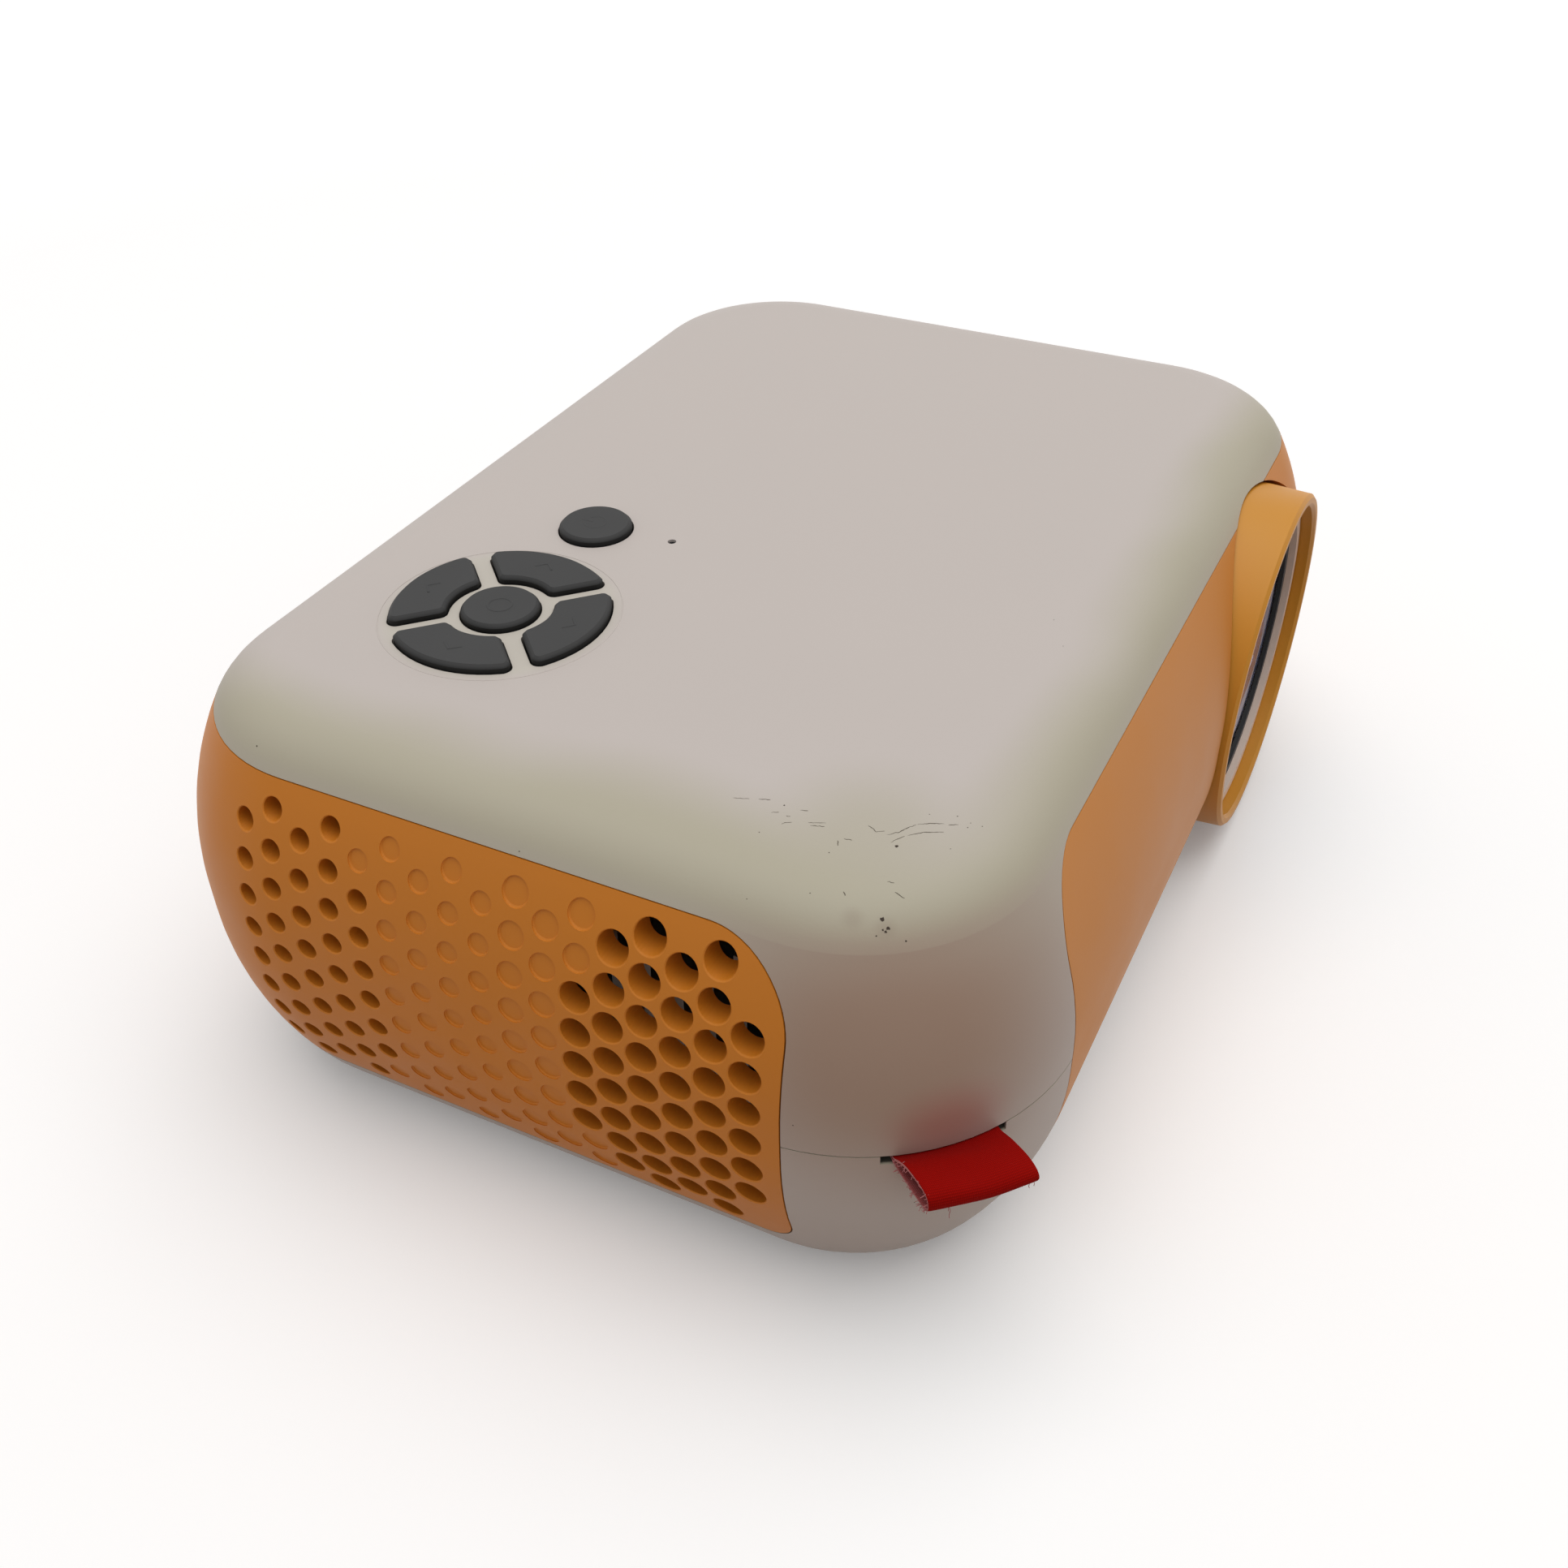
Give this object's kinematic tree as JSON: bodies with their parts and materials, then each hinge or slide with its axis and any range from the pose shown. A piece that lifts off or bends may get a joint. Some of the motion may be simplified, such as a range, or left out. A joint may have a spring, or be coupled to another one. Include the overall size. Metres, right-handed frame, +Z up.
{
  "type": "palm-size video projector",
  "caption": "Palm-size video projector: barrel-sided cream shells, orange wrap-round panels with a perforated side, turning focus ring, sprung top keys and a folded fabric tag.",
  "frame": {"origin": "on the table under the feet, at the middle of the whole object's bounding box", "axes": "+X towards the lens side of the front, -Y the way the lens looks, +Z up"},
  "size_m": [0.139, 0.102, 0.0501],
  "materials": {
    "cream_plastic": "fine satin grain",
    "orange_plastic": "fine satin grain",
    "key_plastic": "matt, slightly rubbery",
    "black_plastic": "matt",
    "white_plastic": "satin",
    "optical_glass": "clear, coated",
    "mirror_glass": "polished",
    "fin_aluminium": "plain extruded",
    "socket_steel": "nickel plated",
    "insert_brass": "turned",
    "board_laminate": "solder mask",
    "component_plastic": "moulded",
    "led_ceramic": "phosphor over white ceramic",
    "foot_rubber": "matt",
    "screw_steel": "black zinc",
    "tag_fabric": "woven ribbon"
  },
  "bodies": {
    "case": {"top_shell": "cream_plastic", "bottom_shell": "cream_plastic", "front_panel": "orange_plastic", "side_panel": "orange_plastic", "lens_mount": "black_plastic", "optical_box": "black_plastic", "optical_box_cover": "black_plastic", "heat_filter": "optical_glass", "lcd_panel": "component_plastic", "field_lens": "optical_glass", "fold_mirror": "mirror_glass", "condenser_lens": "optical_glass", "heat_sink": "fin_aluminium", "led_module": "led_ceramic", "fan_frame": "black_plastic", "speaker": "component_plastic", "main_board": "board_laminate", "board_components": "component_plastic", "key_board": "board_laminate", "key_switches": "component_plastic", "light_pipe": "optical_glass", "hdmi_socket": "socket_steel", "usb_socket": "socket_steel", "card_slot": "socket_steel", "audio_jack": "black_plastic", "dc_inlet": "black_plastic", "infrared_window": "black_plastic", "rubber_feet": "foot_rubber", "case_screws": "screw_steel", "thread_insert": "insert_brass", "woven_tag": "tag_fabric"},
    "focus_ring": {"focus_ring": "orange_plastic"},
    "lens_barrel": {"lens_barrel": "white_plastic", "front_lens": "optical_glass", "rear_lens": "optical_glass", "lens_retainer": "black_plastic"},
    "fan_rotor": {"fan_rotor": "black_plastic"},
    "up_key": {"up_key": "key_plastic"},
    "down_key": {"down_key": "key_plastic"},
    "left_key": {"left_key": "key_plastic"},
    "right_key": {"right_key": "key_plastic"},
    "centre_key": {"centre_key": "key_plastic"},
    "power_key": {"power_key": "key_plastic"}
  },
  "joints": [
    {"name": "focus_ring_turn", "type": "hinge", "parent": "case", "child": "focus_ring", "pos_m": [0.03156, -0.04654, 0.0243], "axis": [0, 1, 0], "range_deg": [0, 180]},
    {"name": "lens_barrel_slide", "type": "slide", "parent": "case", "child": "lens_barrel", "axis": [0, -1, 0], "range_m": [0, 0.003]},
    {"name": "fan_spin", "type": "hinge", "parent": "case", "child": "fan_rotor", "pos_m": [0.05596, 0.00896, 0.0254], "axis": [1, 0, 0], "continuous": true},
    {"name": "up_key_press", "type": "slide", "parent": "case", "child": "up_key", "axis": [0, 0, -1], "range_m": [0, 0.0004], "stiffness_N_per_m": 500},
    {"name": "down_key_press", "type": "slide", "parent": "case", "child": "down_key", "axis": [0, 0, -1], "range_m": [0, 0.0004], "stiffness_N_per_m": 500},
    {"name": "left_key_press", "type": "slide", "parent": "case", "child": "left_key", "axis": [0, 0, -1], "range_m": [0, 0.0004], "stiffness_N_per_m": 500},
    {"name": "right_key_press", "type": "slide", "parent": "case", "child": "right_key", "axis": [0, 0, -1], "range_m": [0, 0.0004], "stiffness_N_per_m": 500},
    {"name": "centre_key_press", "type": "slide", "parent": "case", "child": "centre_key", "axis": [0, 0, -1], "range_m": [0, 0.0004], "stiffness_N_per_m": 500},
    {"name": "power_key_press", "type": "slide", "parent": "case", "child": "power_key", "axis": [0, 0, -1], "range_m": [0, 0.0004], "stiffness_N_per_m": 500}
  ],
  "couplings": [
    {"joint": "lens_barrel_slide", "follows": "focus_ring_turn", "m_per_rad": 0.000954}
  ]
}
